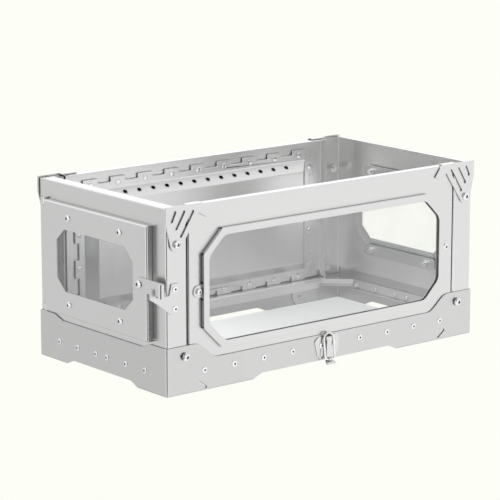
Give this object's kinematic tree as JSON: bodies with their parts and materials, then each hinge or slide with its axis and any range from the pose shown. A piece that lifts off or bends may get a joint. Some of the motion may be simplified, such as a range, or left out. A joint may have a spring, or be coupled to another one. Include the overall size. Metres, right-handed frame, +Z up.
{
  "type": "folding camping wood stove",
  "caption": "Open-topped steel wood stove on a low bent skirt, with folding glazed walls, a hinged glass door, corner locks and draw latches.",
  "frame": {"origin": "middle of the base on the ground that it stands on", "axes": "+X along the stove away from the door, the window wall faces -Y, +Z up"},
  "size_m": [0.4408, 0.239, 0.1928],
  "materials": {
    "steel_sheet": "fine brushed grain, small parts and ledges",
    "base_steel": "fine brushed grain along the skirt",
    "end_wall_steel": "fine brushed grain",
    "front_wall_steel": "fine brushed grain along the wall",
    "back_wall_steel": "fine brushed grain along the wall",
    "baffle_steel": "fine brushed grain along the wall",
    "door_steel": "fine brushed grain",
    "bright_steel": "smooth turned steel of rivets, screws, nuts, pins and wire",
    "window_glass": "clear heat-resistant glass"
  },
  "bodies": {
    "stove_base": {"base_skirt": "base_steel", "front_ledge": "steel_sheet", "back_ledge": "steel_sheet", "left_ledge": "steel_sheet", "right_ledge": "steel_sheet", "corner_braces": "steel_sheet", "base_rivets": "bright_steel", "foot_plates": "steel_sheet", "left_end_wall": "end_wall_steel", "right_end_wall": "end_wall_steel", "end_wall_screws": "bright_steel", "end_wall_nuts": "bright_steel", "right_window_glass": "window_glass", "right_glass_strips": "steel_sheet", "right_glass_bolts": "bright_steel", "right_glass_nuts": "bright_steel", "door_hinge_lugs": "steel_sheet", "door_hinge_pin": "bright_steel", "latch_keeper": "steel_sheet", "keeper_rivets": "bright_steel", "wall_pivot_rivets": "bright_steel", "front_latch_base": "steel_sheet", "back_latch_base": "steel_sheet", "latch_rivets": "bright_steel", "latch_pins": "bright_steel", "lock_screws": "bright_steel", "lock_nuts": "bright_steel"},
    "front_wall": {"front_wall_panel": "front_wall_steel", "front_window_frame": "front_wall_steel", "front_window_glass": "window_glass", "window_screws": "bright_steel", "window_nuts": "bright_steel"},
    "back_wall": {"back_wall_panel": "back_wall_steel", "baffle_tray": "baffle_steel", "baffle_rivets": "bright_steel"},
    "door": {"door_panel": "door_steel", "door_glass": "window_glass", "door_glass_strips": "steel_sheet", "door_bolts": "bright_steel", "door_nuts": "bright_steel", "latch_screw": "bright_steel", "latch_nut": "bright_steel"},
    "latch_arm": {"latch_arm": "door_steel"},
    "front_left_lock": {"front_left_lock": "steel_sheet"},
    "front_right_lock": {"front_right_lock": "steel_sheet"},
    "back_left_lock": {"back_left_lock": "steel_sheet"},
    "back_right_lock": {"back_right_lock": "steel_sheet"},
    "front_lever": {"front_lever": "steel_sheet"},
    "back_lever": {"back_lever": "steel_sheet"},
    "front_loop": {"front_loop": "bright_steel"},
    "back_loop": {"back_loop": "bright_steel"}
  },
  "joints": [
    {"name": "front_wall_fold", "type": "hinge", "parent": "stove_base", "child": "front_wall", "pos_m": [0, -0.103, 0.0318], "axis": [-1, 0, 0], "range_deg": [0, 75]},
    {"name": "back_wall_fold", "type": "hinge", "parent": "stove_base", "child": "back_wall", "pos_m": [0, 0.103, 0.0318], "axis": [1, 0, 0], "range_deg": [0, 90]},
    {"name": "door_swing", "type": "hinge", "parent": "stove_base", "child": "door", "pos_m": [-0.2118, 0.09555, 0.11225], "axis": [0, 0, -1], "range_deg": [0, 140]},
    {"name": "latch_arm_lift", "type": "hinge", "parent": "door", "child": "latch_arm", "pos_m": [-0.2175, -0.07725, 0.1112], "axis": [-1, 0, 0], "range_deg": [0, 100]},
    {"name": "front_left_lock_turn", "type": "hinge", "parent": "stove_base", "child": "front_left_lock", "pos_m": [-0.1971, -0.1105, 0.1546], "axis": [0, 1, 0], "range_deg": [-90, 0]},
    {"name": "front_right_lock_turn", "type": "hinge", "parent": "stove_base", "child": "front_right_lock", "pos_m": [0.1971, -0.1105, 0.1546], "axis": [0, 1, 0], "range_deg": [0, 90]},
    {"name": "back_left_lock_turn", "type": "hinge", "parent": "stove_base", "child": "back_left_lock", "pos_m": [-0.1971, 0.1105, 0.1546], "axis": [0, 1, 0], "range_deg": [-90, 0]},
    {"name": "back_right_lock_turn", "type": "hinge", "parent": "stove_base", "child": "back_right_lock", "pos_m": [0.1971, 0.1105, 0.1546], "axis": [0, 1, 0], "range_deg": [0, 90]},
    {"name": "front_lever_lift", "type": "hinge", "parent": "stove_base", "child": "front_lever", "pos_m": [0, -0.1139, 0.0285], "axis": [-1, 0, 0], "range_deg": [0, 120]},
    {"name": "back_lever_lift", "type": "hinge", "parent": "stove_base", "child": "back_lever", "pos_m": [0, 0.1139, 0.0285], "axis": [1, 0, 0], "range_deg": [0, 120]},
    {"name": "front_loop_swing", "type": "hinge", "parent": "front_lever", "child": "front_loop", "pos_m": [0, -0.1169, 0.006], "axis": [1, 0, 0], "range_deg": [-20, 150]},
    {"name": "back_loop_swing", "type": "hinge", "parent": "back_lever", "child": "back_loop", "pos_m": [0, 0.1169, 0.006], "axis": [-1, 0, 0], "range_deg": [-20, 150]}
  ],
  "couplings": [
    {"joint": "front_loop_swing", "follows": "front_lever_lift", "ratio": 1},
    {"joint": "back_loop_swing", "follows": "back_lever_lift", "ratio": 1}
  ]
}
